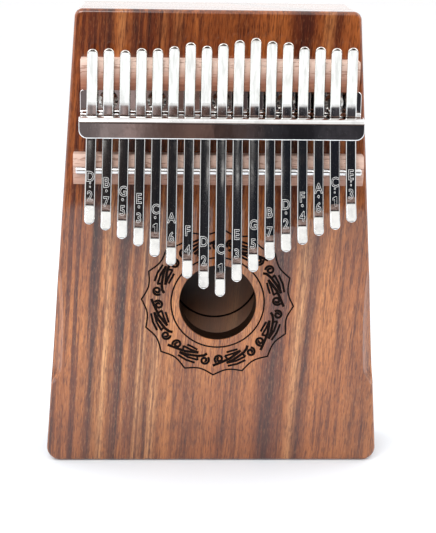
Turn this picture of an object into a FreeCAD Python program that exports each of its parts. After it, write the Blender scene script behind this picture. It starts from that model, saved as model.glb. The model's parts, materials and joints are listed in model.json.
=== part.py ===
"""A 17-key mbira with a glued-up wooden sound box.

Frame: the origin is the centre of the bottom end face, +X is the player's right, the soundboard
faces -Y and the instrument stands along +Z.  Heights above the soundboard run towards -Y.
"""
import FreeCAD
import Part
import Sketcher
import math
import os

doc = FreeCAD.newDocument("mbira")

# ---------------------------------------------------------------- driving dimensions (mm)
DIMENSIONS = [
    # sound box
    ("body_length", 185.0), ("bottom_width", 137.0), ("top_width", 110.0), ("body_depth", 35.0),
    ("front_thick", 9.0), ("back_thick", 5.0), ("rail_width", 9.0),
    ("head_start", 134.0), ("foot_height", 12.0),
    ("bottom_corner", 5.5), ("top_corner", 3.2), ("arris_round", 1.6),
    ("centre_offset", 1.4), ("wood_offset", 0.7), ("hole_height", 68.3), ("hole_radius", 15.4), ("hole_arris", 0.4),
    # grip scoops on the front side edges
    ("scoop_height", 42.5), ("scoop_outset", 8.0), ("scoop_front", 8.0),
    ("scoop_rise", 73.0), ("scoop_drop", 15.0), ("scoop_wide", 14.4), ("scoop_deep", 14.4),
    # rear bar
    ("bar_start", 154.9), ("bar_width", 11.8), ("bar_length", 106.8), ("bar_crest", 8.7),
    ("bar_crown", 18.0), ("bar_crest_place", 163.0),
    # front bridge and its rod
    ("bridge_start", 117.9), ("bridge_width", 11.8), ("bridge_length", 113.2),
    ("bridge_crest", 7.1), ("bridge_crown", 12.0), ("rod_place", 123.8), ("rod_radius", 1.5),
    ("rod_top", 9.3), ("rod_length", 111.0), ("groove_gap", 0.05),
    # pressure bracket
    ("sheet_thick", 1.5), ("bracket_length", 109.4), ("bracket_height", 13.5),
    ("riser_rear", 145.5), ("base_rear", 154.6), ("flange_front", 137.2),
    ("bend_outer", 2.4), ("bend_inner", 0.9), ("flange_corner", 3.2), ("base_corner", 2.0),
    ("sheet_round", 0.45), ("slot_width", 4.6), ("slot_bottom", 3.0), ("slot_top", 9.6),
    # screws
    ("screw_place", 150.3), ("screw_radius", 1.6), ("screw_gap", 0.25), ("screw_depth", 16.0),
    ("head_radius", 3.7), ("head_height", 2.6), ("head_rim", 1.0), ("recess_wide", 4.2),
    ("recess_thick", 0.9), ("recess_depth", 1.6),
    # tines
    ("tine_pitch", 6.24), ("tine_width", 4.05), ("tine_thick", 1.4), ("tine_lift", 0.05),
    ("tine_fan", 0.17), ("press_place", 144.75), ("press_height", 6.7), ("rear_slope", 0.13),
    ("tip_length", 8.0), ("tip_slope", 0.36), ("press_bend", 75.0), ("tip_bend", 22.0),
    ("tine_end", 1.95), ("tine_bevel", 0.4),
    ("speaking_length", 48.1), ("end_correction", 4.5),
]

# Each tine: how far past the front press line its rear end reaches, set when it was tuned
REAR_REACH = {
    "d6": 26.3, "b5": 26.6, "g5": 26.0, "e5": 26.8, "c5": 26.8, "a4": 27.7, "f4": 29.2, "d4": 28.0,
    "c4": 29.0, "e4": 30.3, "g4": 31.2, "b4": 30.1, "d5": 29.7, "f5": 28.1, "a5": 28.1, "c6": 27.7,
    "e6": 27.9,
}
TINE_COUNT = 17
MAJOR_SCALE = (("c", 0), ("d", 2), ("e", 4), ("f", 5), ("g", 7), ("a", 9), ("b", 11))
LOWEST_OCTAVE = 4
SCREW_PLACES = (-7, -4, 0, 4, 7)          # in tine pitches from the middle
SLOT_END = (TINE_COUNT - 1) // 2

dims = doc.addObject("Spreadsheet::Sheet", "dims")


def add_dimension(row, alias, value):
    dims.set("A%d" % row, alias)
    dims.set("B%d" % row, str(value))
    dims.setAlias("B%d" % row, alias)


for row, (alias, value) in enumerate(DIMENSIONS, start=1):
    add_dimension(row, alias, value)


def tuned_notes():
    """Name, place from the middle and semitones above the lowest note of every tine.

    The lowest note is in the middle; the rest of the scale alternates left, right, left.
    """
    notes = []
    for degree in range(TINE_COUNT):
        letter, step = MAJOR_SCALE[degree % len(MAJOR_SCALE)]
        octave = degree // len(MAJOR_SCALE)
        place = (degree + 1) // 2 * (-1 if degree % 2 else 1)
        notes.append((letter + str(LOWEST_OCTAVE + octave), place, 12 * octave + step))
    return sorted(notes, key=lambda note: note[1])


NOTES = tuned_notes()
for number, (note, place, semitones) in enumerate(NOTES):
    first_row = len(DIMENSIONS) + 1 + 2 * number
    add_dimension(first_row, "reach_" + note, REAR_REACH[note])
    add_dimension(first_row + 1, "ratio_" + note, round(0.5 ** (semitones / 24.0), 4))
doc.recompute()


# ---------------------------------------------------------------- helpers
def value_of(expression):
    """The number that an expression over the sheet gives."""
    return float(dims.evalExpression(expression))


def new_body(label):
    body = doc.addObject("PartDesign::Body", label)
    body.Label = label
    return body


def origin_part(body, role):
    return next(item for item in body.Origin.OriginFeatures if item.Role == role)


def attached_sketch(body, name, plane):
    sketch = body.newObject("Sketcher::SketchObject", name)
    sketch.AttachmentSupport = [(origin_part(body, plane), "")]
    sketch.MapMode = "FlatFace"
    return sketch


def bind(sketch, constraint, expression):
    index = sketch.addConstraint(constraint)
    sketch.setExpression("Constraints[%d]" % index, expression)


def pin_point(sketch, geometry, end, across, up):
    """Hold one point of the sketch at the place that two expressions give."""
    for kind, expression in (("DistanceX", across), ("DistanceY", up)):
        bind(sketch, Sketcher.Constraint(kind, -1, 1, geometry, end, value_of(expression)), expression)


def polygon_sketch(body, name, plane, corners, arcs=None):
    """A closed outline.  corners are (across, up) expressions; arcs maps the number of a side
    to the expression of its radius, and that side bulges outwards (left of its direction)."""
    sketch = attached_sketch(body, name, plane)
    points = [FreeCAD.Vector(value_of(across), value_of(up), 0) for across, up in corners]
    arcs = arcs or {}
    ends = []
    for side, start in enumerate(points):
        stop = points[(side + 1) % len(points)]
        if side in arcs:
            radius = value_of(arcs[side])
            chord = stop - start
            rise = radius - math.sqrt(radius ** 2 - (chord.Length / 2) ** 2)
            outward = FreeCAD.Vector(-chord.y, chord.x, 0).normalize()
            arc = Part.Arc(start, (start + stop) / 2 + outward * rise, stop)
            geometry = sketch.addGeometry(arc, False)
            near_start = sketch.getPoint(geometry, 1).distanceToPoint(start) < 1e-6
            ends.append((1, 2) if near_start else (2, 1))
            bind(sketch, Sketcher.Constraint("Radius", geometry, radius), arcs[side])
        else:
            sketch.addGeometry(Part.LineSegment(start, stop), False)
            ends.append((1, 2))
    for side in range(len(points)):
        after = (side + 1) % len(points)
        sketch.addConstraint(Sketcher.Constraint("Coincident", side, ends[side][1], after, ends[after][0]))
    for side, (across, up) in enumerate(corners):
        pin_point(sketch, side, ends[side][0], across, up)
    return sketch


def circle_sketch(body, name, plane, circles):
    """Circles as (across, up, radius) expressions."""
    sketch = attached_sketch(body, name, plane)
    for number, (across, up, radius) in enumerate(circles):
        centre = FreeCAD.Vector(value_of(across), value_of(up), 0)
        sketch.addGeometry(Part.Circle(centre, FreeCAD.Vector(0, 0, 1), value_of(radius)), False)
        bind(sketch, Sketcher.Constraint("Radius", number, value_of(radius)), radius)
        pin_point(sketch, number, 3, across, up)
    return sketch


def extrude(body, kind, name, sketch, length, symmetric=False, reverse=False):
    """A Pad or Pocket.  A Pocket has to take material away."""
    before = body.Shape.Volume if kind == "Pocket" else 0.0
    feature = body.newObject("PartDesign::" + kind, name)
    feature.Profile = sketch
    feature.setExpression("Length", length)
    if symmetric:
        feature.SideType = "Symmetric"
    feature.Reversed = reverse
    doc.recompute()
    if kind == "Pocket" and body.Shape.Volume > before - 1e-3:
        raise RuntimeError(name + " cuts nothing")
    return feature


def edges_where(shape, test):
    return ["Edge%d" % number for number, edge in enumerate(shape.Edges, start=1) if test(edge)]


def dress(body, kind, name, size, test):
    """A Fillet or Chamfer on the edges of the body that pass the test."""
    base = body.Tip
    names = edges_where(base.Shape, test)
    if not names:
        raise RuntimeError(name + " finds no edge")
    feature = body.newObject("PartDesign::" + kind, name)
    feature.Base = (base, names)
    feature.setExpression("Radius" if kind == "Fillet" else "Size", size)
    doc.recompute()
    return feature


def span(edge, axis):
    box = edge.BoundBox
    return {"x": box.XLength, "y": box.YLength, "z": box.ZLength}[axis]


def runs_along(edge, axis):
    return span(edge, axis) > 0.1 and all(span(edge, other) < 1e-4 for other in "xyz" if other != axis)


def near(value, target, slack=0.01):
    return abs(value - target) < slack


def place(body, x="0", y="0", z="0"):
    for axis, expression in (("x", x), ("y", y), ("z", z)):
        if expression != "0":
            body.setExpression("Placement.Base." + axis, expression)


# ---------------------------------------------------------------- sound box
FRONT_FACE = "-dims.body_depth / 2"
TAPER = "(dims.bottom_width - dims.top_width) / dims.body_length"
SIDE_LEAN = math.degrees(math.atan(value_of(TAPER) / 2))
SCOOP_EDGE = "((dims.bottom_width - %s * dims.scoop_height) / 2)" % TAPER


def half_width(height, inset="0"):
    """Half the width of the tapered box at a height, less an inset."""
    return "(dims.bottom_width - %s * %s) / 2 - %s" % (TAPER, height, inset)


def carve_scoop(body, side, name):
    """The grip scoop on one front side edge: a long half ellipsoid above its widest place and a
    short one below, both leaning with the side.  side is -1 or 1."""
    for half, long_radius, low, high in (("rise", "dims.scoop_rise", 0, 90),
                                         ("drop", "dims.scoop_drop", -90, 0)):
        before = body.Shape.Volume
        scoop = body.newObject("PartDesign::SubtractiveEllipsoid", "%s_%s" % (name, half))
        scoop.AttachmentSupport = [(origin_part(body, "XY_Plane"), "")]
        scoop.MapMode = "FlatFace"
        scoop.setExpression("Radius1", long_radius)
        scoop.setExpression("Radius2", "dims.scoop_wide")
        scoop.setExpression("Radius3", "dims.scoop_deep")
        scoop.Angle1 = low
        scoop.Angle2 = high
        scoop.Angle3 = 360
        scoop.AttachmentOffset = FreeCAD.Placement(
            FreeCAD.Vector(), FreeCAD.Rotation(FreeCAD.Vector(0, 1, 0), -side * SIDE_LEAN))
        scoop.setExpression("AttachmentOffset.Base.x", "%d * (%s + dims.scoop_outset)" % (side, SCOOP_EDGE))
        scoop.setExpression("AttachmentOffset.Base.y", "-dims.front_thick - dims.scoop_front")
        scoop.setExpression("AttachmentOffset.Base.z", "dims.scoop_height")
        doc.recompute()
        if body.Shape.Volume > before - 1.0:
            raise RuntimeError(scoop.Name + " cuts nothing")


def is_end_corner(edge, height):
    return runs_along(edge, "y") and near(edge.BoundBox.ZMin, height)


def make_board(label, thickness):
    """A full-outline board from y = 0 to y = -thickness, corners rounded."""
    body = new_body(label)
    corners = [
        ("-dims.bottom_width / 2", "0"), ("dims.bottom_width / 2", "0"),
        ("dims.top_width / 2", "dims.body_length"), ("-dims.top_width / 2", "dims.body_length"),
    ]
    outline = polygon_sketch(body, label + "_outline", "XZ_Plane", corners)
    extrude(body, "Pad", label + "_pad", outline, thickness)
    length = value_of("dims.body_length")
    dress(body, "Fillet", label + "_feet", "dims.bottom_corner", lambda edge: is_end_corner(edge, 0.0))
    dress(body, "Fillet", label + "_top", "dims.top_corner", lambda edge: is_end_corner(edge, length))
    return body


def screw_holes(height):
    offsets = ["dims.centre_offset + (%d) * dims.tine_pitch" % number for number in SCREW_PLACES]
    return [(offset, height, "dims.screw_radius") for offset in offsets]


def make_front_board():
    body = make_board("front_board", "dims.front_thick")
    face = -value_of("dims.front_thick")
    dress(body, "Fillet", "front_arris", "dims.arris_round",
          lambda edge: near(edge.BoundBox.YMin, face) and near(edge.BoundBox.YMax, face))
    hole = circle_sketch(body, "hole_outline", "XZ_Plane",
                         [("dims.centre_offset", "dims.hole_height", "dims.hole_radius")])
    extrude(body, "Pocket", "sound_hole", hole, "dims.front_thick * 3", symmetric=True)
    radius = value_of("dims.hole_radius")
    dress(body, "Fillet", "hole_arris_round", "dims.hole_arris",
          lambda edge: near(edge.BoundBox.YMin, face) and near(edge.BoundBox.XLength, 2 * radius))
    pilots = circle_sketch(body, "front_pilots", "XZ_Plane", screw_holes("dims.screw_place"))
    extrude(body, "Pocket", "front_pilot_holes", pilots, "dims.front_thick * 3", symmetric=True)
    for side, name in ((-1, "left_scoop"), (1, "right_scoop")):
        carve_scoop(body, side, name)
    place(body, y=FRONT_FACE + " + dims.front_thick")
    return body


def make_back_board():
    """Modelled like the front board, then its outer face is the y = 0 side."""
    body = make_board("back_board", "dims.back_thick")
    dress(body, "Fillet", "back_arris", "dims.arris_round",
          lambda edge: near(edge.BoundBox.YMin, 0) and near(edge.BoundBox.YMax, 0))
    place(body, y="dims.body_depth / 2")
    return body


MIDDLE_DEPTH = "(dims.body_depth - dims.front_thick - dims.back_thick)"


def make_rail(label, side):
    """One long side of the box, between the two boards."""
    body = new_body(label)
    sign = "-" if side < 0 else ""
    corners = [
        (sign + "dims.bottom_width / 2", "0"),
        (sign + "(dims.bottom_width / 2 - dims.rail_width)", "0"),
        (sign + "(dims.top_width / 2 - dims.rail_width)", "dims.body_length"),
        (sign + "dims.top_width / 2", "dims.body_length"),
    ]
    outline = polygon_sketch(body, label + "_outline", "XZ_Plane", corners)
    extrude(body, "Pad", label + "_pad", outline, MIDDLE_DEPTH)
    length = value_of("dims.body_length")
    foot = value_of("dims.bottom_width") / 2
    top = value_of("dims.top_width") / 2
    dress(body, "Fillet", label + "_foot", "dims.bottom_corner",
          lambda edge: is_end_corner(edge, 0.0) and near(abs(edge.BoundBox.XMin), foot))
    dress(body, "Fillet", label + "_top", "dims.top_corner",
          lambda edge: is_end_corner(edge, length) and near(abs(edge.BoundBox.XMin), top))
    place(body, y="dims.body_depth / 2 - dims.back_thick")
    return body


def make_block(label, start, stop):
    """An end block between the rails, from one height to another."""
    body = new_body(label)
    low = half_width(start, "dims.rail_width")
    high = half_width(stop, "dims.rail_width")
    corners = [("-(%s)" % low, start), (low, start), (high, stop), ("-(%s)" % high, stop)]
    outline = polygon_sketch(body, label + "_outline", "XZ_Plane", corners)
    extrude(body, "Pad", label + "_pad", outline, MIDDLE_DEPTH)
    place(body, y="dims.body_depth / 2 - dims.back_thick")
    return body


def make_head_block():
    body = make_block("head_block", "dims.head_start", "dims.body_length")
    pilots = circle_sketch(body, "head_pilots", "XZ_Plane", screw_holes("dims.screw_place"))
    depth = "(dims.screw_depth - dims.front_thick)"
    pilots.setExpression("AttachmentOffset.Base.z", MIDDLE_DEPTH)
    extrude(body, "Pocket", "head_pilot_holes", pilots, depth)
    return body


# ---------------------------------------------------------------- wooden bar and bridge
def make_crowned_bar(label, start, width, length, crest, crown, crest_place):
    """A bar across the soundboard whose top is an arc; the crest need not be in its middle."""
    body = new_body(label)
    drop = "(%s - sqrt(pow(%s; 2) - pow(%s; 2)))"
    rear = "(%s + %s)" % (start, width)
    low_drop = drop % (crown, crown, "(%s - %s)" % (crest_place, start))
    high_drop = drop % (crown, crown, "(%s - %s)" % (rear, crest_place))
    corners = [
        ("-(%s - %s)" % (crest, low_drop), start), ("-(%s - %s)" % (crest, high_drop), rear),
        ("0", rear), ("0", start),
    ]
    profile = polygon_sketch(body, label + "_profile", "YZ_Plane", corners, arcs={0: crown})
    extrude(body, "Pad", label + "_pad", profile, length, symmetric=True)
    place(body, x="dims.wood_offset", y=FRONT_FACE)
    return body


def make_rear_bar():
    return make_crowned_bar("rear_bar", "dims.bar_start", "dims.bar_width", "dims.bar_length",
                            "dims.bar_crest", "dims.bar_crown", "dims.bar_crest_place")


ROD_CENTRE = "(dims.rod_top - dims.rod_radius)"


def make_front_bridge():
    body = make_crowned_bar("front_bridge", "dims.bridge_start", "dims.bridge_width",
                            "dims.bridge_length", "dims.bridge_crest", "dims.bridge_crown",
                            "dims.rod_place")
    groove = circle_sketch(body, "groove_outline", "YZ_Plane",
                           [("-" + ROD_CENTRE, "dims.rod_place", "dims.rod_radius + dims.groove_gap")])
    extrude(body, "Pocket", "rod_groove", groove, "dims.bridge_length * 2", symmetric=True)
    return body


def make_bridge_rod():
    body = new_body("bridge_rod")
    section = circle_sketch(body, "rod_section", "YZ_Plane",
                            [("-" + ROD_CENTRE, "dims.rod_place", "dims.rod_radius")])
    extrude(body, "Pad", "rod_pad", section, "dims.rod_length", symmetric=True)
    half = value_of("dims.rod_length") / 2
    dress(body, "Chamfer", "rod_ends", "dims.sheet_round",
          lambda edge: near(abs(edge.BoundBox.XMin), half) and edge.BoundBox.XLength < 1e-4)
    place(body, x="dims.wood_offset", y=FRONT_FACE)
    return body


# ---------------------------------------------------------------- pressure bracket
def make_pressure_bracket():
    """One sheet bent into a Z: base plate on the soundboard, slotted riser, flange over the tines."""
    body = new_body("pressure_bracket")
    riser_front = "dims.riser_rear - dims.sheet_thick"
    flange_under = "-(dims.bracket_height - dims.sheet_thick)"
    corners = [
        ("0", "dims.base_rear"), ("0", riser_front), (flange_under, riser_front),
        (flange_under, "dims.flange_front"), ("-dims.bracket_height", "dims.flange_front"),
        ("-dims.bracket_height", "dims.riser_rear"), ("-dims.sheet_thick", "dims.riser_rear"),
        ("-dims.sheet_thick", "dims.base_rear"),
    ]
    profile = polygon_sketch(body, "bracket_profile", "YZ_Plane", corners)
    extrude(body, "Pad", "bracket_pad", profile, "dims.bracket_length", symmetric=True)
    spots = {number: (value_of(across), value_of(up)) for number, (across, up) in enumerate(corners)}

    def bend_at(number):
        across, up = spots[number]
        return lambda edge: (runs_along(edge, "x") and near(edge.BoundBox.YMin, across)
                             and near(edge.BoundBox.ZMin, up))

    for name, size, number in (("heel", "dims.bend_outer", 1), ("top_inner", "dims.bend_inner", 2),
                               ("top_outer", "dims.bend_outer", 5), ("base_inner", "dims.bend_inner", 6)):
        dress(body, "Fillet", "bend_" + name, size, bend_at(number))
    front = spots[3][1]
    rear = spots[0][1]
    dress(body, "Fillet", "flange_corners", "dims.flange_corner",
          lambda edge: runs_along(edge, "y") and near(edge.BoundBox.ZMin, front))
    dress(body, "Fillet", "base_corners", "dims.base_corner",
          lambda edge: runs_along(edge, "y") and near(edge.BoundBox.ZMin, rear))
    top = spots[4][0]
    dress(body, "Fillet", "flange_edge", "dims.sheet_round",
          lambda edge: (runs_along(edge, "x") and near(edge.BoundBox.ZMin, front)
                        and near(edge.BoundBox.YMin, top)))
    first_slot = "dims.tine_pitch * %d" % SLOT_END
    slot_corners = [
        ("-(%s) - dims.slot_width / 2" % first_slot, "-dims.slot_top"),
        ("-(%s) + dims.slot_width / 2" % first_slot, "-dims.slot_top"),
        ("-(%s) + dims.slot_width / 2" % first_slot, "-dims.slot_bottom"),
        ("-(%s) - dims.slot_width / 2" % first_slot, "-dims.slot_bottom"),
    ]
    slot = polygon_sketch(body, "slot_outline", "XY_Plane", slot_corners)
    slot.setExpression("AttachmentOffset.Base.z", "dims.riser_rear + dims.sheet_thick")
    pocket = extrude(body, "Pocket", "tine_slot", slot, "dims.sheet_thick * 3")
    row_of_slots = body.newObject("PartDesign::LinearPattern", "tine_slots")
    row_of_slots.Originals = [pocket]
    row_of_slots.Direction = (origin_part(body, "X_Axis"), [""])
    row_of_slots.setExpression("Length", "dims.tine_pitch * %d" % (TINE_COUNT - 1))
    row_of_slots.Occurrences = TINE_COUNT
    body.Tip = row_of_slots
    doc.recompute()
    holes = [("(%d) * dims.tine_pitch" % number, "dims.screw_place", "dims.screw_radius + dims.screw_gap")
             for number in SCREW_PLACES]
    hole_outline = circle_sketch(body, "base_holes", "XZ_Plane", holes)
    extrude(body, "Pocket", "base_screw_holes", hole_outline, "dims.sheet_thick * 3", symmetric=True)
    place(body, x="dims.centre_offset", y=FRONT_FACE)
    return body


def make_screw(number, pitches):
    """A pan-head wood screw along +Y with a cross recess, under the head at its own origin."""
    body = new_body("screw_%d" % number)
    tip = "(dims.screw_depth)"
    corners = [
        ("0", "-dims.head_height"), ("dims.head_radius - dims.head_rim", "-dims.head_height"),
        ("dims.head_radius", "-dims.head_rim"), ("dims.head_radius", "0"), ("dims.screw_radius", "0"),
        ("dims.screw_radius", tip + " - dims.screw_radius"), ("0", tip),
    ]
    profile = polygon_sketch(body, "screw_profile_%d" % number, "XY_Plane", corners)
    turn = body.newObject("PartDesign::Revolution", "screw_turn_%d" % number)
    turn.Profile = profile
    turn.ReferenceAxis = (origin_part(body, "Y_Axis"), [""])
    turn.Angle = 360
    doc.recompute()
    for name, wide, tall in (("across", "dims.recess_wide", "dims.recess_thick"),
                             ("along", "dims.recess_thick", "dims.recess_wide")):
        arm = [("-%s / 2" % wide, "-%s / 2" % tall), ("%s / 2" % wide, "-%s / 2" % tall),
               ("%s / 2" % wide, "%s / 2" % tall), ("-%s / 2" % wide, "%s / 2" % tall)]
        outline = polygon_sketch(body, "recess_%s_%d" % (name, number), "XZ_Plane", arm)
        outline.setExpression("AttachmentOffset.Base.z", "dims.head_height")
        extrude(body, "Pocket", "recess_cut_%s_%d" % (name, number), outline, "dims.recess_depth")
    place(body, x="dims.centre_offset + (%d) * dims.tine_pitch" % pitches,
          y=FRONT_FACE + " - dims.sheet_thick", z="dims.screw_place")
    return body


def make_bracket_screws():
    group = doc.addObject("Part::Compound", "bracket_screws")
    group.Label = "bracket_screws"
    group.Links = [make_screw(number, pitches) for number, pitches in enumerate(SCREW_PLACES, start=1)]
    return group


# ---------------------------------------------------------------- tines
ROD_PITCH = "(dims.tine_pitch + (dims.press_place - dims.rod_place) * tan(dims.tine_fan * 1deg))"
FRONT_SLOPE = "((dims.rod_top - dims.press_height) / (dims.press_place - dims.rod_place))"


def make_tine(note, place_number):
    """A spring-steel strip, straight but for its bends where the bracket presses it and at its
    upturned tip.  Its own origin is its line of contact on the bridge rod."""
    label = "tine_" + note
    body = new_body(label)
    speaking = ("((dims.speaking_length + dims.end_correction) * dims.ratio_%s - dims.end_correction)"
                % note)
    press = "(dims.press_place - dims.rod_place)"
    rear = "(%s + dims.reach_%s)" % (press, note)
    low = "(dims.press_height - dims.rod_top)"
    rear_height = "(%s + dims.rear_slope * dims.reach_%s)" % (low, note)
    bend = "(%s - dims.tip_length)" % speaking
    bend_height = "(%s * %s)" % (FRONT_SLOPE, bend)
    tip_height = "(%s + dims.tip_slope * dims.tip_length)" % bend_height
    under = [(rear_height, rear), (low, press), (bend_height, "-" + bend), (tip_height, "-" + speaking)]
    corners = [("-" + height, along) for height, along in under]
    corners += [("-%s - dims.tine_thick" % height, along) for height, along in reversed(under)]
    profile = polygon_sketch(body, label + "_profile", "YZ_Plane", corners)
    extrude(body, "Pad", label + "_pad", profile, "dims.tine_width", symmetric=True)
    places = {key: value_of(expression) for key, expression in
              (("press", press), ("bend", "-" + bend), ("rear", rear), ("tip", "-" + speaking))}
    for name, size in (("press", "dims.press_bend"), ("bend", "dims.tip_bend")):
        dress(body, "Fillet", label + "_" + name, size,
              lambda edge: runs_along(edge, "x") and near(edge.BoundBox.ZMin, places[name]))
    dress(body, "Fillet", label + "_ends", "dims.tine_end",
          lambda edge: runs_along(edge, "y") and (near(edge.BoundBox.ZMin, places["rear"])
                                                  or near(edge.BoundBox.ZMin, places["tip"])))
    side = value_of("dims.tine_width") / 2
    middle = -value_of("dims.tine_thick") / 2
    dress(body, "Chamfer", label + "_bevel", "dims.tine_bevel",
          lambda edge: (near(abs(edge.BoundBox.XMin), side) and edge.BoundBox.XLength < 1e-4
                        and edge.BoundBox.ZMin < 0 < edge.BoundBox.ZMax
                        and edge.BoundBox.YMin < middle and edge.BoundBox.ZLength > 1))
    fan = FreeCAD.Rotation(FreeCAD.Vector(0, 1, 0), -place_number * value_of("dims.tine_fan"))
    body.Placement = FreeCAD.Placement(FreeCAD.Vector(), fan)
    place(body, x="dims.centre_offset + (%d) * %s" % (place_number, ROD_PITCH),
          y=FRONT_FACE + " - dims.rod_top - dims.tine_lift", z="dims.rod_place")
    return body


def main():
    pieces = [
        make_front_board(), make_back_board(), make_rail("left_rail", -1), make_rail("right_rail", 1),
        make_head_block(), make_block("foot_block", "0", "dims.foot_height"),
        make_rear_bar(), make_front_bridge(), make_bridge_rod(), make_pressure_bracket(),
        make_bracket_screws(),
    ]
    pieces += [make_tine(note, place_number) for note, place_number, semitones in NOTES]
    doc.recompute()
    for item in doc.Objects:
        if {"Invalid", "Error"} & set(item.State):
            raise RuntimeError("%s failed: %s" % (item.Label, item.State))
    for piece in pieces:
        if piece.Shape.isNull() or not piece.Shape.isValid():
            raise RuntimeError(piece.Label + " has no valid shape")
    os.makedirs("parts", exist_ok=True)
    for piece in pieces:
        piece.Shape.exportStep("parts/%s.step" % piece.Label)
        box = piece.Shape.BoundBox
        print("%-18s solids %d  volume %9.1f  x %.1f..%.1f  y %.1f..%.1f  z %.1f..%.1f" % (
            piece.Label, len(piece.Shape.Solids), piece.Shape.Volume,
            box.XMin, box.XMax, box.YMin, box.YMax, box.ZMin, box.ZMax))


main()
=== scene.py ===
"""Looks of the 17-key mbira: lacquered box, chromed hardware, spring-steel tines and burnt ornament.

Everything is in metres in the part's own frame: origin at the centre of the bottom end face,
+X the player's right, the soundboard faces -Y, +Z up along the instrument.
"""
import bpy
import bmesh
import json
import math
from mathutils import Matrix, Vector


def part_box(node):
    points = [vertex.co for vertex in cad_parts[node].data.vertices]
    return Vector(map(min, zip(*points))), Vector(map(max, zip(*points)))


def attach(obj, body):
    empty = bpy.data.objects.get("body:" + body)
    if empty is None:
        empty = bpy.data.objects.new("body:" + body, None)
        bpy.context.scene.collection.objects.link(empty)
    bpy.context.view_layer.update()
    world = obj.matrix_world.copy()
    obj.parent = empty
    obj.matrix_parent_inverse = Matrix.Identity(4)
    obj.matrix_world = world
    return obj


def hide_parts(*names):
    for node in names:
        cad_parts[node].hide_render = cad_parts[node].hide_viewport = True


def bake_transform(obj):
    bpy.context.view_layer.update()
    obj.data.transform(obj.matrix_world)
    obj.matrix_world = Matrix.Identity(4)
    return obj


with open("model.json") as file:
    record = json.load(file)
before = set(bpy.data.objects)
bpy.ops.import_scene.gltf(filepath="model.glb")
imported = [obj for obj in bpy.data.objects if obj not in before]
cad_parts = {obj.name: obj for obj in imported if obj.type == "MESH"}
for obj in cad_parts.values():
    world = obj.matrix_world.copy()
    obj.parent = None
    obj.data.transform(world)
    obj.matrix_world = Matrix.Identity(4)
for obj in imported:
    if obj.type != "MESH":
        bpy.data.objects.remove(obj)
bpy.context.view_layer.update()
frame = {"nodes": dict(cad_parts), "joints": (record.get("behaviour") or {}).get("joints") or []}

MM = 0.001
BOX_BODY = "sound_box"


# ---------------------------------------------------------------- node helpers
def srgb(red, green, blue):
    """A colour picked as 0..255 screen values, as the linear RGBA that a node takes."""
    def linear(value):
        value = value / 255
        return value / 12.92 if value <= 0.04045 else ((value + 0.055) / 1.055) ** 2.4
    return (linear(red), linear(green), linear(blue), 1.0)


def node(tree, kind, inputs=None, **settings):
    """One shader node.  inputs maps a socket's name or number to a value or to another's output."""
    made = tree.nodes.new(kind)
    for key, value in settings.items():
        setattr(made, key, value)
    for key, value in (inputs or {}).items():
        if isinstance(value, bpy.types.NodeSocket):
            tree.links.new(value, made.inputs[key])
        else:
            made.inputs[key].default_value = value
    return made


def calc(tree, operation, first, second=0.0, third=0.0, clamp=False):
    made = node(tree, "ShaderNodeMath", {0: first, 1: second, 2: third}, operation=operation)
    made.use_clamp = clamp
    return made.outputs[0]


def ramp(tree, factor, stops, mode="LINEAR"):
    """A colour ramp from (place, colour) stops, in order."""
    made = node(tree, "ShaderNodeValToRGB", {0: factor})
    made.color_ramp.interpolation = mode
    elements = made.color_ramp.elements
    elements[0].position, elements[0].color = stops[0]
    elements[1].position, elements[1].color = stops[-1]
    for place, colour in stops[1:-1]:
        elements.new(place).color = colour
    return made.outputs[0]


def blend_colour(tree, factor, first, second, mode="MIX"):
    made = node(tree, "ShaderNodeMix", data_type="RGBA", blend_type=mode)
    pairs = ((made.inputs["Factor"], factor), (made.inputs[6], first), (made.inputs[7], second))
    for socket, value in pairs:
        if isinstance(value, bpy.types.NodeSocket):
            tree.links.new(value, socket)
        else:
            socket.default_value = value
    return made.outputs[2]


def between(tree, value, low, high):
    """0 at low, 1 at high, smooth and clamped."""
    made = node(tree, "ShaderNodeMapRange", {0: value, 1: low, 2: high, 3: 0.0, 4: 1.0},
                interpolation_type="SMOOTHSTEP")
    return made.outputs[0]


def stretched(tree, place, scale):
    return node(tree, "ShaderNodeVectorMath", {0: place, 1: scale}, operation="MULTIPLY").outputs[0]


def noise_of(tree, place, scale, detail=3.0, roughness=0.5, distortion=0.0):
    made = node(tree, "ShaderNodeTexNoise", {
        "Vector": place, "Scale": scale, "Detail": detail, "Roughness": roughness,
        "Distortion": distortion})
    return made.outputs[0]


def bump(tree, height, strength, distance):
    return node(tree, "ShaderNodeBump", {"Height": height, "Strength": strength,
                                         "Distance": distance}).outputs[0]


def new_material(name):
    material = bpy.data.materials.new(name)
    material.use_nodes = True
    tree = material.node_tree
    tree.nodes.clear()
    place = node(tree, "ShaderNodeTexCoord").outputs["Object"]
    return material, tree, place


def surface(tree, **inputs):
    """A Principled shader; inputs are its sockets' names with underscores for spaces."""
    named = {key.replace("_", " "): value for key, value in inputs.items()}
    shader = node(tree, "ShaderNodeBsdfPrincipled", named)
    node(tree, "ShaderNodeOutputMaterial", {"Surface": shader.outputs[0]})


# ---------------------------------------------------------------- wood
DEEP = srgb(112, 54, 30)
DARK = srgb(147, 81, 42)
BROWN = srgb(178, 107, 53)
WARM = srgb(202, 128, 68)
LIGHT = srgb(222, 148, 84)
PALE = srgb(240, 180, 124)
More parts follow.
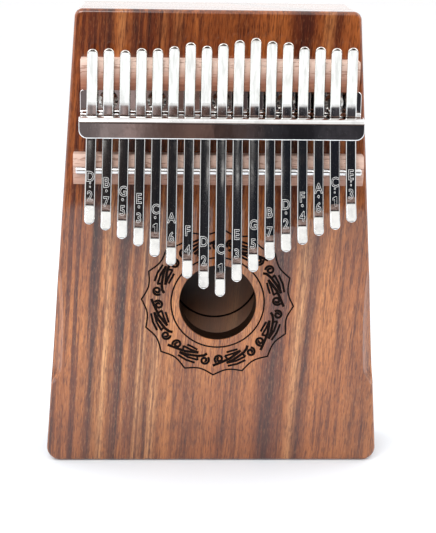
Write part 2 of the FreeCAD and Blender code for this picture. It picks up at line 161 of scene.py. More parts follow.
# The board's figure: stripes by their distance across the grain from the middle, in mm
STRIPES = [
    (-66, WARM), (-54, WARM), (-50.8, DEEP), (-48.2, LIGHT), (-46, PALE), (-43.6, WARM),
    (-40.3, DEEP), (-38.2, WARM), (-37, LIGHT), (-35.4, DARK), (-33.2, BROWN), (-30.9, PALE),
    (-27.9, BROWN), (-25.2, PALE), (-22, BROWN), (-18.7, LIGHT), (-14.2, WARM), (-10.5, BROWN),
    (-3, WARM), (3, WARM), (11, LIGHT), (17, WARM), (20.6, DARK), (23.9, DEEP), (27, DARK),
    (30, WARM), (33, PALE), (36.4, DARK), (42, LIGHT), (54.2, WARM), (62, BROWN), (70, LIGHT),
]
STRIPE_REACH = 70.0
STRIPE_WANDER = 3 * MM        # how far the stripes stray slowly, and how far their edges fray
STRIPE_FRAY = 2.6 * MM
# scale across the grain per metre, its share along the grain, the dark tone, and the strength
GRAIN_LAYERS = (
    (260.0, 0.030, srgb(196, 180, 170), 0.9),
    (760.0, 0.035, srgb(176, 154, 142), 0.95),
    (2000.0, 0.080, srgb(160, 134, 118), 0.95),
)
RAW_WOOD = srgb(226, 184, 160)
GRAIN_LEAN = 0.062           # the stripes run this much aside per unit of height
GRAIN_MIDDLE = 100 * MM
HOLE = Vector((1.4 * MM, 0, 68.3 * MM))
HOLE_RADIUS = 15.4 * MM


def lacquered_wood(name, shift=0.0, depth_share=0.25, gain=1.0, inside=None, scorched=False):
    """Striped hardwood under clear gloss lacquer.  shift moves the figure aside, in metres,
    depth_share says how much the figure runs on through the thickness, and inside, a pair of
    depths, says where the raw inner face begins and is reached.  scorched darkens the sound hole's
    wall as its laser left it."""
    material, tree, place = new_material(name)
    split = node(tree, "ShaderNodeSeparateXYZ", {0: place})
    across, deep, up = split.outputs
    slow = noise_of(tree, stretched(tree, place, (9, 9, 2.2)), 3.0, 2.0)
    wander = calc(tree, "MULTIPLY", calc(tree, "SUBTRACT", slow, 0.5), STRIPE_WANDER)
    lean = calc(tree, "MULTIPLY", calc(tree, "SUBTRACT", up, GRAIN_MIDDLE), -GRAIN_LEAN)
    through = calc(tree, "MULTIPLY", deep, depth_share)
    leaning = calc(tree, "ADD", across, lean)
    figure = calc(tree, "ADD", leaning, calc(tree, "ADD", wander, through))
    figure = calc(tree, "ADD", figure, shift)
    grain = node(tree, "ShaderNodeCombineXYZ", {0: leaning, 1: deep, 2: up}).outputs[0]
    fuzz = noise_of(tree, stretched(tree, grain, (60, 60, 1.5)), 12.0, 4.0, 0.6)
    fray = calc(tree, "MULTIPLY", calc(tree, "SUBTRACT", fuzz, 0.5), STRIPE_FRAY)
    figure = calc(tree, "ADD", figure, fray)
    share = calc(tree, "ADD", calc(tree, "DIVIDE", figure, 2 * STRIPE_REACH * MM), 0.5, clamp=True)
    stripes = [(0.5 + at / (2 * STRIPE_REACH), colour) for at, colour in STRIPES]
    colour = ramp(tree, share, stripes)
    # streaks inside the stripes, then fibres, each long along the grain
    for scale, along, dark, strength in GRAIN_LAYERS:
        streak = noise_of(tree, stretched(tree, grain, (1, 1, along)), scale, 2.0, 0.6)
        tone = ramp(tree, streak, [(0.33, dark), (0.47, srgb(238, 234, 230)), (0.62, srgb(255, 255, 255))])
        colour = blend_colour(tree, strength, colour, tone, "MULTIPLY")
    # the player's left half of the board is the more strongly figured one
    band = noise_of(tree, stretched(tree, grain, (1, 1, 0.012)), 420.0, 2.0, 0.55)
    left_half = between(tree, across, -4 * MM, -26 * MM)
    band_mask = calc(tree, "MULTIPLY", between(tree, band, 0.5, 0.62), left_half)
    colour = blend_colour(tree, band_mask, colour,
                          blend_colour(tree, 1.0, colour, srgb(170, 144, 134), "MULTIPLY"))
    fibre = noise_of(tree, stretched(tree, grain, (1, 1, 0.035)), 2400.0, 2.0, 0.65)
    pore = noise_of(tree, stretched(tree, grain, (1, 1, 0.2)), 1800.0, 1.0, 0.5)
    pore_mask = between(tree, pore, 0.55, 0.64)
    colour = blend_colour(tree, calc(tree, "MULTIPLY", pore_mask, 0.34), colour, srgb(80, 38, 24))
    fleck = noise_of(tree, stretched(tree, grain, (1, 1, 0.17)), 2500.0, 1.0, 0.5)
    colour = blend_colour(tree, calc(tree, "MULTIPLY", between(tree, fleck, 0.56, 0.68), 0.12), colour,
                          srgb(255, 196, 140))
    # broad cloudy tone
    cloud = noise_of(tree, stretched(tree, place, (20, 20, 7)), 1.6, 2.0)
    colour = blend_colour(tree, between(tree, cloud, 0.35, 0.7), colour,
                          blend_colour(tree, 1.0, colour, srgb(232, 218, 210), "MULTIPLY"))
    # painted shade: the wood is darker and browner towards the head
    colour = blend_colour(tree, between(tree, up, 50 * MM, 150 * MM), colour,
                          blend_colour(tree, 1.0, colour, srgb(212, 188, 166), "MULTIPLY"))
    # painted shade: and darker towards the foot, by the table
    for top, bottom, tone in ((45, 8, srgb(234, 228, 220)), (22, 13, srgb(240, 235, 230))):
        colour = blend_colour(tree, between(tree, up, top * MM, bottom * MM), colour,
                              blend_colour(tree, 1.0, colour, tone, "MULTIPLY"))
    coat = 1.0
    if scorched:
        from_axis = node(tree, "ShaderNodeVectorMath", {0: stretched(tree, place, (1, 0, 1)), 1: HOLE},
                         operation="DISTANCE").outputs["Value"]
        scorch = between(tree, from_axis, HOLE_RADIUS + 0.35 * MM, HOLE_RADIUS + 0.02 * MM)
        colour = blend_colour(tree, calc(tree, "MULTIPLY", scorch, 0.97), colour, srgb(17, 10, 8))
        coat = calc(tree, "SUBTRACT", coat, scorch)
    if gain != 1.0:
        colour = blend_colour(tree, 1.0, colour, (gain, gain, gain, 1), "MULTIPLY")
    if inside:
        raw = between(tree, deep, *inside)
        pale = blend_colour(tree, 0.5, RAW_WOOD, colour)
        # painted shade: the raw inner face is darker towards the upper left of the sound hole, where the
        # light coming through the hole does not fall
        aside = calc(tree, "MULTIPLY", across, 0.6)
        slope = calc(tree, "SUBTRACT", calc(tree, "MULTIPLY", up, 0.8), aside)
        smudge_and_painted_shade = between(tree, slope, 37 * MM, 60 * MM)
        painted_shade_inside = blend_colour(tree, 1.0, pale, srgb(78, 74, 72), "MULTIPLY")
        pale = blend_colour(tree, smudge_and_painted_shade, pale, painted_shade_inside)
        colour = blend_colour(tree, raw, colour, pale)
        coat = calc(tree, "MULTIPLY", coat, calc(tree, "SUBTRACT", 1.0, raw))
    relief = calc(tree, "ADD", calc(tree, "MULTIPLY", fibre, 0.3), calc(tree, "MULTIPLY", pore_mask, -1.0))
    flow = noise_of(tree, place, 26.0, 1.0)
    lacquer_relief = calc(tree, "ADD", flow, calc(tree, "MULTIPLY", relief, 0.012))
    surface(tree, Base_Color=colour, Roughness=0.38, Specular_IOR_Level=0.25,
            Normal=bump(tree, relief, 0.25, 0.05 * MM), Coat_Weight=coat, Coat_IOR=1.57,
            Coat_Roughness=calc(tree, "ADD", 0.035, calc(tree, "MULTIPLY", cloud, 0.03)),
            Coat_Normal=bump(tree, lacquer_relief, 0.12, 0.6 * MM))
    return material


def bar_wood(name, lit, shaded):
    """Pinkish hardwood, satin, with its grain along the bar: a painted highlight makes it paler from
    the height called lit upwards, and painted shade makes it browner from the height called shaded
    downwards."""
    material, tree, place = new_material(name)
    up = node(tree, "ShaderNodeSeparateXYZ", {0: place}).outputs[2]
    long_noise = noise_of(tree, stretched(tree, place, (0.06, 1, 1)), 900.0, 4.0, 0.6)
    tone = ramp(tree, long_noise, [(0.3, srgb(190, 126, 96)), (0.5, srgb(224, 166, 136)),
                                   (0.7, srgb(244, 200, 174))])
    patch = noise_of(tree, stretched(tree, place, (0.35, 1, 1)), 120.0, 2.0)
    tone = blend_colour(tree, between(tree, patch, 0.35, 0.75), tone, srgb(206, 150, 128))
    painted_shade_tone = blend_colour(tree, 1.0, tone, srgb(196, 168, 150), "MULTIPLY")
    pale = blend_colour(tree, 0.7, tone, srgb(254, 234, 220))
    # painted highlight from the height lit upwards, painted shade from the height shaded downwards
    tone = blend_colour(tree, between(tree, up, shaded, lit), painted_shade_tone, pale)
    dash = noise_of(tree, stretched(tree, place, (0.16, 1, 1)), 1500.0, 2.0)
    dash_mask = between(tree, dash, 0.56, 0.66)
    tone = blend_colour(tree, calc(tree, "MULTIPLY", dash_mask, 0.6), tone, srgb(146, 90, 66))
    relief = calc(tree, "SUBTRACT", calc(tree, "MULTIPLY", long_noise, 0.5), dash_mask)
    surface(tree, Base_Color=tone, Roughness=calc(tree, "ADD", 0.4, calc(tree, "MULTIPLY", patch, 0.2)),
            Specular_IOR_Level=0.4, Normal=bump(tree, relief, 0.5, 0.08 * MM))
    return material


def burnt_wood(name):
    """Laser-burnt lines under the same lacquer."""
    material, tree, place = new_material(name)
    grit = noise_of(tree, place, 2600.0, 3.0, 0.6)
    tone = ramp(tree, grit, [(0.3, srgb(14, 8, 6)), (0.6, srgb(26, 15, 11)), (0.8, srgb(46, 27, 19))])
    surface(tree, Base_Color=tone, Roughness=0.8, Specular_IOR_Level=0.06,
            Normal=bump(tree, grit, 0.3, 0.03 * MM))
    return material


# ---------------------------------------------------------------- metal
def plated_metal(name, tone, roughness, ripple, brush=(1, 1, 1), brush_scale=900.0, brush_height=0.0,
                 dull_above=None):
    """Bright plated steel: ripple is the depth of its slow waves, brush its fine finishing lines.
    Above the height dull_above it is greyer and faintly speckled, as rolled."""
    material, tree, place = new_material(name)
    wave = noise_of(tree, stretched(tree, place, (1, 1, 0.6)), 210.0, 2.0, 0.4)
    fine = noise_of(tree, stretched(tree, place, brush), brush_scale, 3.0, 0.6)
    smudge = noise_of(tree, place, 160.0, 3.0, 0.6)
    scratch = noise_of(tree, stretched(tree, place, (6, 6, 0.5)), 700.0, 2.0)
    scratch_mask = between(tree, scratch, 0.66, 0.7)
    rough = calc(tree, "ADD", roughness, calc(tree, "MULTIPLY", between(tree, smudge, 0.45, 0.75), 0.05))
    rough = calc(tree, "ADD", rough, calc(tree, "MULTIPLY", scratch_mask, 0.08))
    smudge_and_painted_shade = srgb(*[round(part * 0.9) for part in tone])
    colour = blend_colour(tree, between(tree, smudge, 0.4, 0.8), srgb(*tone), smudge_and_painted_shade)
    if dull_above:
        up = node(tree, "ShaderNodeSeparateXYZ", {0: place}).outputs[2]
        speckle = ramp(tree, fine, [(0.35, srgb(204, 201, 195)), (0.65, srgb(236, 233, 227))])
        colour = blend_colour(tree, between(tree, up, dull_above, dull_above + 3 * MM), colour, speckle)
    slow = bump(tree, wave, 1.0, ripple)
    relief = node(tree, "ShaderNodeBump", {"Height": fine, "Strength": 1.0, "Distance": brush_height,
                                           "Normal": slow}).outputs[0]
    surface(tree, Base_Color=colour, Metallic=1.0, Roughness=rough, Normal=relief)
    return material


def engraved_metal(name):
    """The pale matt line that an engraving leaves."""
    material, tree, place = new_material(name)
    grit = noise_of(tree, place, 3000.0, 2.0)
    tone = ramp(tree, grit, [(0.3, srgb(206, 204, 202)), (0.6, srgb(248, 247, 245))])
    surface(tree, Base_Color=tone, Metallic=0.1, Roughness=0.6, Normal=bump(tree, grit, 0.4, 0.02 * MM))
    return material


MATERIALS = {
    "front": lacquered_wood("striped_wood_front", inside=(-8.9 * MM, -8.6 * MM), scorched=True),
    "back": lacquered_wood("striped_wood_back", shift=17 * MM, gain=0.95,
                           inside=(12.9 * MM, 12.6 * MM)),
    "left": lacquered_wood("striped_wood_left", shift=22 * MM, depth_share=2.2, gain=0.9),
    "right": lacquered_wood("striped_wood_right", shift=-19 * MM, depth_share=-2.0, gain=0.9),
    "block": lacquered_wood("striped_wood_block", shift=6 * MM, depth_share=1.2, gain=0.9),
    "bar": bar_wood("rear_bar_wood", lit=167.5 * MM, shaded=157 * MM),
    "bridge": bar_wood("bridge_wood", lit=140 * MM, shaded=106 * MM),
    "burnt": burnt_wood("burnt_line"),
    "chrome": plated_metal("mirror_chrome", (232, 231, 231), 0.035, 0.012 * MM,
                           brush_height=0.0004 * MM),
    "rod": plated_metal("polished_rod", (226, 225, 224), 0.06, 0.004 * MM, brush=(0.05, 1, 1),
                        brush_height=0.002 * MM),
    "screw": plated_metal("nickel_screw", (214, 211, 206), 0.12, 0.01 * MM, brush_height=0.004 * MM),
    "tine": plated_metal("spring_steel", (236, 236, 235), 0.05, 0.012 * MM, brush=(1, 1, 0.04),
                         brush_height=0.0008 * MM, dull_above=149 * MM),
    "engraved": engraved_metal("engraved_line"),
}
NODE_LOOKS = {
    "front_board": "front", "back_board": "back", "left_rail": "left", "right_rail": "right",
    "head_block": "block", "foot_block": "block", "rear_bar": "bar", "front_bridge": "bridge",
    "bridge_rod": "rod", "pressure_bracket": "chrome", "bracket_screws": "screw",
}


def dress_cad_nodes():
    for name, look in NODE_LOOKS.items():
        obj = frame["nodes"][name]
        if not obj.data.materials:
            obj.data.materials.append(None)
        for index in range(len(obj.material_slots)):
            obj.material_slots[index].link = "OBJECT"
            obj.material_slots[index].material = MATERIALS[look]


def new_piece(name, builder, look, body=None):
    """Turn a bmesh into a named piece with a material, riding on a body."""
    mesh = bpy.data.meshes.new(name)
    builder.to_mesh(mesh)
    builder.free()
    obj = bpy.data.objects.new(name, mesh)
    bpy.context.scene.collection.objects.link(obj)
    mesh.materials.append(MATERIALS[look])
    if body:
        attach(obj, body)
    return obj


# ---------------------------------------------------------------- tines
TINE_THICK = 1.36 * MM
TINE_HALF = 2.025 * MM
FRONT_ANGLE = math.atan(2.6 / 20.95)      # from the bracket's press line up to the rod
REAR_ANGLE = -math.atan(0.13)
TIP_ANGLE = math.atan(0.36)
TIP_RUN = 8.0 * MM
PRESS_RUN = 20.95 * MM                    # from the rod back to the press line
PRESS_RADIUS = 75 * MM
TIP_RADIUS = 22 * MM
FAN = math.radians(0.17)
# the strip's section: inset from the outline and height above the underside
SECTION = [(inset * MM, height * MM) for inset, height in (
    (0.30, 0.0), (0.08, 0.05), (0.0, 0.24), (0.0, 0.93), (0.05, 1.04), (0.34, 1.32), (0.46, 1.36))]
END_STEPS = 10
TIP_INSET_SHARE = 0.12        # the tip's rim is bevelled less than the sides
HEAD_INSET_SHARE = 0.45       # and so is the rear end's
MIDDLE_TINE = 8


class StripLine:
    """The underside line of a bent strip, from its rear end to its tip, as stretches of constant
    curvature.  Places on it are (along, height): along towards the rear, from the rod."""

    def __init__(self, reach, speaking):
        press_turn = FRONT_ANGLE - REAR_ANGLE
        tip_turn = TIP_ANGLE - FRONT_ANGLE
        press_cut = PRESS_RADIUS * math.tan(press_turn / 2)
        tip_cut = TIP_RADIUS * math.tan(tip_turn / 2)
        rear_length = (reach - PRESS_RUN) / math.cos(REAR_ANGLE)
        bend_length = (speaking - TIP_RUN) / math.cos(FRONT_ANGLE)
        self.contact = rear_length + PRESS_RUN / math.cos(FRONT_ANGLE)
        self.bend = self.contact + bend_length
        self.stretches = [
            (rear_length - press_cut, REAR_ANGLE, 0.0),
            (PRESS_RADIUS * press_turn, REAR_ANGLE, 1 / PRESS_RADIUS),
            (self.bend - rear_length - press_cut - tip_cut, FRONT_ANGLE, 0.0),
            (TIP_RADIUS * tip_turn, FRONT_ANGLE, 1 / TIP_RADIUS),
            (TIP_RUN / math.cos(TIP_ANGLE) - tip_cut, TIP_ANGLE, 0.0),
        ]
        self.length = sum(stretch[0] for stretch in self.stretches)
        self.shift = (0.0, 0.0)
        along, height, angle = self.at(self.contact)
        self.shift = (-along, -height)

    def at(self, distance):
        """(along, height, slope angle) at a distance from the rear end."""
        along, height = self.shift
        for number, (length, angle, curvature) in enumerate(self.stretches):
            last = number == len(self.stretches) - 1
            run = distance if last else min(distance, length)
            turned = angle + curvature * run
            if curvature:
                along -= (math.sin(turned) - math.sin(angle)) / curvature
                height += (math.cos(angle) - math.cos(turned)) / curvature
            else:
                along -= run * math.cos(angle)
                height += run * math.sin(angle)
            distance -= run
            if distance <= 0 or last:
                return along, height, turned

    def stations(self):
        """Distances with a mesh row: close together in the bends, wide apart on the straights."""
        found, start = [], 0.0
        for length, angle, curvature in self.stretches:
            rows = max(2, round(length / (0.7 * MM if curvature else 2.5 * MM)))
            found += [start + length * row / rows for row in range(rows)]
            start += length
        return [place for place in found if TINE_HALF * 1.15 < place < self.length - TINE_HALF * 1.15]


class Tine:
    def __init__(self, joint, place_number):
        self.note = joint["name"].split("_")[1]
        self.body = joint["child"]
        self.origin = Vector(joint["pos_m"]) + Vector((0, -0.05 * MM, 0))
        self.turn = Matrix.Rotation(-place_number * FAN, 3, "Y")
        low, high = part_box("tine_" + self.note)
        lean = math.cos(place_number * FAN)
        self.line = StripLine((high.z - self.origin.z) / lean, (self.origin.z - low.z) / lean)

    def point(self, across, distance, rise):
        """The row-frame place of a point given across the strip, along it and above its underside."""
        along, height, angle = self.line.at(distance)
        local = Vector((across, -(height + rise * math.cos(angle)), along + rise * math.sin(angle)))
        return self.origin + self.turn @ local

    def frame_at(self, distance, rise):
        """A matrix whose X runs across the strip, Y towards its rear end and Z out of its face."""
        angle = self.line.at(distance)[2]
        rear = self.turn @ Vector((0, math.sin(angle), math.cos(angle)))
        out = self.turn @ Vector((0, -math.cos(angle), math.sin(angle)))
        side = rear.cross(out)
        rotation = Matrix((side, rear, out)).transposed().to_4x4()
        return Matrix.Translation(self.point(0, distance, rise)) @ rotation

    def rows(self, inset):
        """(half width, distance) of each row of an outline drawn in by inset."""
        radius = TINE_HALF - inset
        steps = [math.pi / 2 * step / END_STEPS for step in range(END_STEPS + 1)]
        head_radius = TINE_HALF - inset * HEAD_INSET_SHARE
        head = [(radius * math.sin(turn), TINE_HALF - head_radius * math.cos(turn)) for turn in steps]
        tip_radius = TINE_HALF - inset * TIP_INSET_SHARE
        tail = [(radius * math.sin(turn), self.line.length - TINE_HALF + tip_radius * math.cos(turn))
                for turn in reversed(steps)]
        return head + [(radius, place) for place in self.line.stations()] + tail

    def build(self):
        builder = bmesh.new()
        rings = []
        for inset, rise in SECTION:
            rows = self.rows(inset)
            left = [builder.verts.new(self.point(-half, place, rise)) for half, place in rows]
            right = [builder.verts.new(self.point(half, place, rise)) for half, place in rows[1:-1]]
            rings.append((left, [left[0]] + right + [left[-1]]))
        for (left, right), (next_left, next_right) in zip(rings, rings[1:]):
            for row in range(len(left) - 1):
                builder.faces.new((left[row], left[row + 1], next_left[row + 1], next_left[row]))
                builder.faces.new((right[row + 1], right[row], next_right[row], next_right[row + 1]))
        for left, right in (rings[0], rings[-1]):
            for row in range(len(left) - 1):
                corners = [left[row], left[row + 1], right[row + 1], right[row]]
                distinct = list(dict.fromkeys(corners))
                builder.faces.new(distinct)
        bmesh.ops.recalc_face_normals(builder, faces=builder.faces)
        for face in builder.faces:
            face.smooth = True
        name = "strip_" + self.note
        obj = new_piece(name, builder, "tine")
        obj.modifiers.new("even_normals", "WEIGHTED_NORMAL").keep_sharp = True
        return obj


MARK_HEIGHT = 3.75 * MM
MARK_NARROW = 0.8
MARK_LINE = 0.085 * MM
MARK_BOLD = 0.016             # of the font's size
DIGIT_PLACE = 3.0 * MM        # from the tip bend back to the digit's middle
LETTER_PLACE = 10.5 * MM
DOT_PLACE = 7.2 * MM
FLAGGED_ONE = ((0.20, 0.0), (0.42, 0.0), (0.42, 0.74), (0.28, 0.74), (0.02, 0.60), (0.02, 0.45),
               (0.20, 0.52))
SCALE_LETTERS = "cdefgab"
FIRST_OCTAVE = 4


def outline_text(text, tall):
    """The outline of a character as a thin round line, as a mesh about its own middle.  The font
    has a plain bar for a one, so the one has an outline of its own."""
    if text == "1":
        curve = bpy.data.curves.new("mark", "CURVE")
        curve.dimensions = "3D"
        line = curve.splines.new("POLY")
        line.points.add(len(FLAGGED_ONE) - 1)
        for point, (across, up) in zip(line.points, FLAGGED_ONE):
            point.co = (across, up, 0, 1)
        line.use_cyclic_u = True
    else:
        curve = bpy.data.curves.new("mark", "FONT")
        curve.body = text
        curve.size = 1.0
        curve.fill_mode = "NONE"
    holder = bpy.data.objects.new("mark", curve)
    bpy.context.scene.collection.objects.link(holder)
    bpy.context.view_layer.update()
    flat = bpy.data.meshes.new_from_object(holder.evaluated_get(bpy.context.evaluated_depsgraph_get()))
    points = [vertex.co.copy() for vertex in flat.vertices]
    low = Vector([min(point[axis] for point in points) for axis in range(3)])
    high = Vector([max(point[axis] for point in points) for axis in range(3)])
    scale = tall / (high.y - low.y)
    curve.bevel_depth = MARK_LINE / scale
    curve.bevel_resolution = 1
    curve.offset = 0.0 if text == "1" else MARK_BOLD
    curve.resolution_u = 3
    bpy.context.view_layer.update()
    mesh = bpy.data.meshes.new_from_object(holder.evaluated_get(bpy.context.evaluated_depsgraph_get()))
    middle = (low + high) / 2
    middle.z = 0
    mesh.transform(Matrix.Diagonal((scale * MARK_NARROW, scale, scale, 1)) @ Matrix.Translation(-middle))
    bpy.data.objects.remove(holder)
    bpy.data.meshes.remove(flat)
    return mesh


def engrave(tine):
    """The note's letter, its octave dots and its number in the scale, as on any such instrument."""
    letter, octave = tine.note[0], int(tine.note[1])
    number = SCALE_LETTERS.index(letter) + 1
    marks = [(letter.upper(), MARK_HEIGHT, LETTER_PLACE), (str(number), MARK_HEIGHT, DIGIT_PLACE)]
    dots = {1: ".", 2: ":"}.get(octave - FIRST_OCTAVE)
    if dots:
        marks.append((dots, 0.75 * MM if dots == "." else 1.9 * MM, DOT_PLACE))
    builder = bmesh.new()
    for text, tall, back in marks:
        mesh = outline_text(text, tall)
        mesh.transform(tine.frame_at(tine.line.bend - back, TINE_THICK))
        builder.from_mesh(mesh)
        bpy.data.meshes.remove(mesh)
    new_piece("marks_" + tine.note, builder, "engraved", body=tine.body)


def make_tines():
    for number, joint in enumerate(frame["joints"]):
        tine = Tine(joint, number - MIDDLE_TINE)
        strip = tine.build()
        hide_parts("tine_" + tine.note)
        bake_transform(strip)
        engrave(tine)


# ---------------------------------------------------------------- burnt ornament
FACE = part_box("front_board")[0].y
BACK_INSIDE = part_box("back_board")[0].y
LINE_LIFT = 0.02 * MM
LINE_SINK = 0.06 * MM
RING_RADIUS = 18.8 * MM
RING_STEPS = 96
INNER_RING_RADIUS = 18.6 * MM    # of the line on the back board's inner face
INNER_RING_RISE = 3.6 * MM
INNER_RING_LINE = 0.8 * MM
SCALLOPS = 16
SCALLOP_TURN = math.radians(267.4)
SCALLOP_TIP = 30.7 * MM
SCALLOP_VALLEY = 28.7 * MM
SCALLOP_STEPS = 12               # per scallop
MOTIFS = 8
MOTIF_TURN = math.radians(18)
THIN = 0.65 * MM
STROKE = 1.12 * MM
FINE_STROKE = STROKE * 0.8
CURL_STROKE = STROKE * 0.88
CURL_SIZE = 1.9 * MM
CURL_TURNS = 1.4
CURL_TIGHTENING = 0.8            # the share of its radius that a spiral loses on its way in
CURL_STEPS = 30
CURLS = ((-15.8, 23.9, -35), (15.5, 24.9, 145))     # degrees, radius in mm, and where it starts


def polar(radius, turn):
    """A point on the soundboard about the sound hole's centre, turned anticlockwise from +X."""
    return Vector((HOLE.x + radius * math.cos(turn), HOLE.z + radius * math.sin(turn)))


def ribbon(builder, points, width, closed=False, lift=LINE_LIFT, face=FACE):
    """A thin flat closed strip along a path of (x, z) points lying on a face that looks to -Y."""
    count = len(points)
    sides = []
    for index, point in enumerate(points):
        before = points[index - 1] if closed or index else point
        after = points[(index + 1) % count] if closed or index < count - 1 else point
        inward, onward = (point - before), (after - point)
        inward = inward.normalized() if inward.length > 1e-9 else onward.normalized()
        onward = onward.normalized() if onward.length > 1e-9 else inward
        along = (inward + onward).normalized()
        normal = Vector((-along.y, along.x))
        stretch = 1 / max(0.5, normal.dot(Vector((-onward.y, onward.x))))
        half = width / 2
        pair = (point + normal * half * stretch, point - normal * half * stretch)
        sides.append([builder.verts.new((p.x, y, p.y)) for p in pair
                      for y in (face - lift, face + LINE_SINK)])
    steps = range(count if closed else count - 1)
    for index in steps:
        a, b = sides[index], sides[(index + 1) % count]
        for first, second in ((0, 2), (2, 3), (3, 1), (1, 0)):
            builder.faces.new((a[first], a[second], b[second], b[first]))
    if not closed:
        for end in (sides[0], sides[-1]):
            builder.faces.new((end[0], end[2], end[3], end[1]))


def spiral_points(centre, start):
    """A spiral that starts on its rim and turns clockwise inwards."""
    points = []
    for step in range(CURL_STEPS + 1):
        share = step / CURL_STEPS
        turn = start - CURL_TURNS * math.tau * share
        radius = CURL_SIZE * (1 - CURL_TIGHTENING * share)
        points.append(centre + Vector((math.cos(turn), math.sin(turn))) * radius)
    return points


def motif(builder, turn):
    """One group of the border: two spirals, two hooked lines that cross the space between them,
    and a short stroke on the inner and on the outer side."""
    def spots(*places):
        return [polar(radius * MM, turn + math.radians(degrees)) for degrees, radius in places]

    lines = [
        (spots((-7.5, 21.4), (-1, 21.2), (5.3, 21.4)), FINE_STROKE),
        (spots((-8.5, 27.2), (-0.5, 27.3), (7.7, 27.0)), FINE_STROKE),
        (spots((-21.4, 26.8), (-17, 25.9), (-12, 25.1), (-5, 24.2), (2, 23.1), (7.7, 22.4)), STROKE),
        (spots((7.7, 22.4), (-1, 22.5), (-9.5, 22.8)), FINE_STROKE),
        (spots((-9.8, 22.6), (-8.0, 24.0)), FINE_STROKE),
        (spots((16.6, 21.9), (14, 22.9), (9.5, 23.7), (3, 24.4), (-3, 25.2), (-9, 25.9)), STROKE),
        (spots((-9, 25.9), (0, 25.9), (9.1, 25.5)), FINE_STROKE),
        (spots((9.4, 25.7), (7.9, 24.3)), FINE_STROKE),
    ]
    for degrees, radius, start in CURLS:
        centre = spots((degrees, radius))[0]
        lines.append((spiral_points(centre, turn + math.radians(degrees + start)), CURL_STROKE))
    for number, (points, width) in enumerate(lines):
        ribbon(builder, points, width, lift=LINE_LIFT * (1 + 0.1 * number))


def make_ornament():
    builder = bmesh.new()
    ring = [polar(RING_RADIUS, math.tau * step / RING_STEPS) for step in range(RING_STEPS)]
    ribbon(builder, ring, THIN, closed=True)
    new_piece("ring_line", builder, "burnt", body=BOX_BODY)

    builder = bmesh.new()
    steps = SCALLOPS * SCALLOP_STEPS
    wave = []
    for step in range(steps):
        turn = math.tau * step / steps
        share = 1 - abs(math.sin(SCALLOPS / 2 * turn))
        wave.append(polar(SCALLOP_VALLEY + (SCALLOP_TIP - SCALLOP_VALLEY) * share, turn + SCALLOP_TURN))
    ribbon(builder, wave, THIN, closed=True)
    new_piece("scalloped_line", builder, "burnt", body=BOX_BODY)

    for number in range(MOTIFS):
        builder = bmesh.new()
        motif(builder, MOTIF_TURN + math.tau * number / MOTIFS)
        new_piece("motif_%d" % (number + 1), builder, "burnt", body=BOX_BODY)

    builder = bmesh.new()
    middle = Vector((HOLE.x, HOLE.z + INNER_RING_RISE))
    inner = [middle + INNER_RING_RADIUS * Vector((math.cos(turn), math.sin(turn)))
             for turn in (math.tau * step / RING_STEPS for step in range(RING_STEPS))]
    ribbon(builder, inner, INNER_RING_LINE, closed=True, face=BACK_INSIDE)
    new_piece("inner_ring_line", builder, "burnt", body=BOX_BODY)


# ---------------------------------------------------------------- stage
CAMERA_PLACE = Vector((-0.0256, -0.5875, 0.2372))
CAMERA_PITCH = math.radians(15.08)
CAMERA_YAW = math.radians(2.70)
CAMERA_ROLL = math.radians(0.99)
CAMERA_LENS = 99.65
TABLE_FRONT, TABLE_BACK, TABLE_SIDE = -0.49, 4.0, 3.0


def make_camera():
    forward = Vector((math.sin(CAMERA_YAW) * math.cos(CAMERA_PITCH),
                      math.cos(CAMERA_YAW) * math.cos(CAMERA_PITCH), -math.sin(CAMERA_PITCH)))
    data = bpy.data.cameras.new("camera")
    data.lens = CAMERA_LENS
    data.sensor_width = 36.0
    data.clip_start = 0.01
    camera = bpy.data.objects.new("camera", data)
    rotation = forward.to_track_quat("-Z", "Y").to_matrix().to_4x4()
    camera.matrix_world = (Matrix.Translation(CAMERA_PLACE) @ rotation
                           @ Matrix.Rotation(CAMERA_ROLL, 4, "Z"))
    bpy.context.scene.collection.objects.link(camera)
    bpy.context.scene.camera = camera


def make_floor():
    """A white table whose front edge lies a forearm in front of the instrument."""
    builder = bmesh.new()
    corners = [builder.verts.new(spot) for spot in (
        (-TABLE_SIDE, TABLE_FRONT, 0), (TABLE_SIDE, TABLE_FRONT, 0),
        (TABLE_SIDE, TABLE_BACK, 0), (-TABLE_SIDE, TABLE_BACK, 0))]
    builder.faces.new(corners)
    mesh = bpy.data.meshes.new("floor")
    builder.to_mesh(mesh)
    builder.free()
    floor = bpy.data.objects.new("floor", mesh)
    bpy.context.scene.collection.objects.link(floor)
    material, tree, place = new_material("white_table")
    mottle = noise_of(tree, place, 9.0, 2.0)
    tone = ramp(tree, mottle, [(0.3, srgb(235, 241, 246)), (0.7, srgb(239, 244, 249))])
    away = node(tree, "ShaderNodeVectorMath", {0: place}, operation="LENGTH").outputs["Value"]
    tone = blend_colour(tree, between(tree, away, 0.4, 2.0), tone, srgb(254, 254, 255))
    surface(tree, Base_Color=tone, Roughness=0.6, Specular_IOR_Level=0.1)
    mesh.materials.append(material)


ROOM_LAMPS = (                # across and up, as sines of the angles, the size, and the light
    (-0.046, 0.075, 0.018, 0.45), (0.040, 0.080, 0.018, 0.14), (0.058, 0.047, 0.012, 0.5),
    (0.058, 0.072, 0.011, 0.4), (0.028, 0.000, 0.005, 0.06),
)


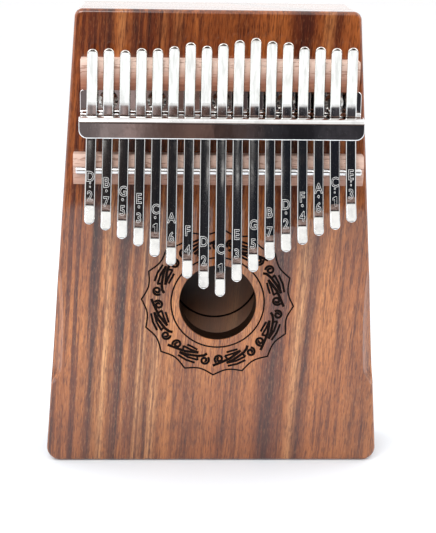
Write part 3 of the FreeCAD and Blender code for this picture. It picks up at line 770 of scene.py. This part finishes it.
def make_world():
    """A white studio with a dim room in front of the table, low down, between the softboxes."""
    world = bpy.data.worlds.new("studio")
    world.use_nodes = True
    tree = world.node_tree
    tree.nodes.clear()
    direction = node(tree, "ShaderNodeTexCoord").outputs["Generated"]
    split = node(tree, "ShaderNodeSeparateXYZ", {0: direction})
    across, ahead, up = split.outputs
    white = (1.0, 1.0, 1.0, 1)
    softbox = (1.16, 1.15, 1.12, 1)
    height = calc(tree, "ADD", calc(tree, "MULTIPLY", up, 0.5), 0.5)

    def level(degrees):
        return 0.5 + 0.5 * math.sin(math.radians(degrees))

    def room(near, low, dark):
        return ramp(tree, height, [
            (level(-30), white), (level(-16.7), white), (level(-16.2), near),
            (level(-8), near), (level(-5), low), (level(-1), dark), (level(12), dark),
            (level(17.8), (0.05, 0.03, 0.03, 1)), (level(19.6), (0.04, 0.03, 0.03, 1)),
            (level(20.6), softbox), (level(90), white)])

    left = room((0.27, 0.22, 0.215, 1), (0.14, 0.10, 0.085, 1), (0.042, 0.034, 0.033, 1))
    middle = room((0.15, 0.09, 0.075, 1), (0.045, 0.035, 0.032, 1), (0.018, 0.018, 0.021, 1))
    right = room((0.04, 0.038, 0.044, 1), (0.02, 0.02, 0.024, 1), (0.013, 0.015, 0.02, 1))
    front = blend_colour(tree, between(tree, across, 0.02, -0.042), middle, left)
    front = blend_colour(tree, between(tree, across, 0.035, 0.085), front, right)
    clutter = noise_of(tree, stretched(tree, direction, (1, 0, 0.25)), 26.0, 3.0, 0.6)
    shade = ramp(tree, clutter, [(0.34, (0.2, 0.2, 0.22, 1)), (0.5, (1, 1, 1, 1)),
                                 (0.66, (2.1, 2.0, 1.95, 1))])
    in_room = calc(tree, "MULTIPLY", between(tree, height, level(-17.0), level(-15.8)),
                   between(tree, height, level(4), level(2)))
    front = blend_colour(tree, calc(tree, "MULTIPLY", in_room, 0.8), front,
                         blend_colour(tree, 1.0, front, shade, "MULTIPLY"))
    # things on the far wall, between the dark below and the softbox's black frame
    blotch = noise_of(tree, stretched(tree, direction, (1, 0, 1)), 34.0, 3.0, 0.65)
    wall = ramp(tree, blotch, [(0.36, (0.05, 0.035, 0.032, 1)), (0.5, (0.3, 0.2, 0.17, 1)),
                               (0.64, (0.62, 0.5, 0.46, 1))])
    on_wall = calc(tree, "MULTIPLY", between(tree, height, level(4.5), level(7)),
                   between(tree, height, level(17.5), level(16)))
    front = blend_colour(tree, on_wall, front, wall)
    for lamp_across, lamp_up, size, light in ROOM_LAMPS:
        apart = node(tree, "ShaderNodeVectorMath", {
            0: stretched(tree, direction, (1, 0, 1)), 1: (lamp_across, 0, lamp_up)},
            operation="DISTANCE").outputs["Value"]
        glow = calc(tree, "MULTIPLY", between(tree, apart, size, size * 0.35), light)
        front = blend_colour(tree, glow, front, (1.0, 0.97, 0.94, 1))
    in_front = between(tree, ahead, -0.55, -0.75)
    behind = calc(tree, "MULTIPLY", between(tree, ahead, 0.3, 0.9), between(tree, up, 0.4, 0.1))
    backdrop = blend_colour(tree, behind, white, (1.3, 1.3, 1.3, 1))
    light = blend_colour(tree, in_front, backdrop, front)
    seen = node(tree, "ShaderNodeLightPath").outputs["Is Camera Ray"]
    shown = blend_colour(tree, seen, light, white)
    background = node(tree, "ShaderNodeBackground", {"Color": shown, "Strength": 1.0})
    node(tree, "ShaderNodeOutputWorld", {"Surface": background.outputs[0]})
    bpy.context.scene.world = world


# name, place, what it points at, size, and power in watts
SOFTBOXES = (
    ("softbox_front", (-0.35, -0.85, 0.75), (0, -0.2, 0.04), (0.6, 0.5), 5.7),
    ("softbox_left", (-0.7, 0.2, 0.6), (-0.26, 0.06, 0), (0.8, 0.8), 2.5),
    ("softbox_right", (0.7, 0.2, 0.6), (0.26, 0.06, 0), (0.8, 0.8), 2.5),
    ("softbox_top", (0.1, -0.1, 1.3), (0, 0, 0), (1.2, 1.0), 1.0),
)


def make_light(name, place, target, size, energy):
    data = bpy.data.lights.new(name, "AREA")
    data.shape = "RECTANGLE"
    data.size, data.size_y = size
    data.energy = energy
    lamp = bpy.data.objects.new(name, data)
    lamp.location = place
    lamp.rotation_mode = "QUATERNION"
    lamp.rotation_quaternion = (Vector(target) - Vector(place)).to_track_quat("-Z", "Y")
    bpy.context.scene.collection.objects.link(lamp)


dress_cad_nodes()
make_tines()
make_ornament()
make_camera()
make_floor()
make_world()
for softbox in SOFTBOXES:
    make_light(*softbox)
bpy.context.scene.view_settings.view_transform = "Standard"
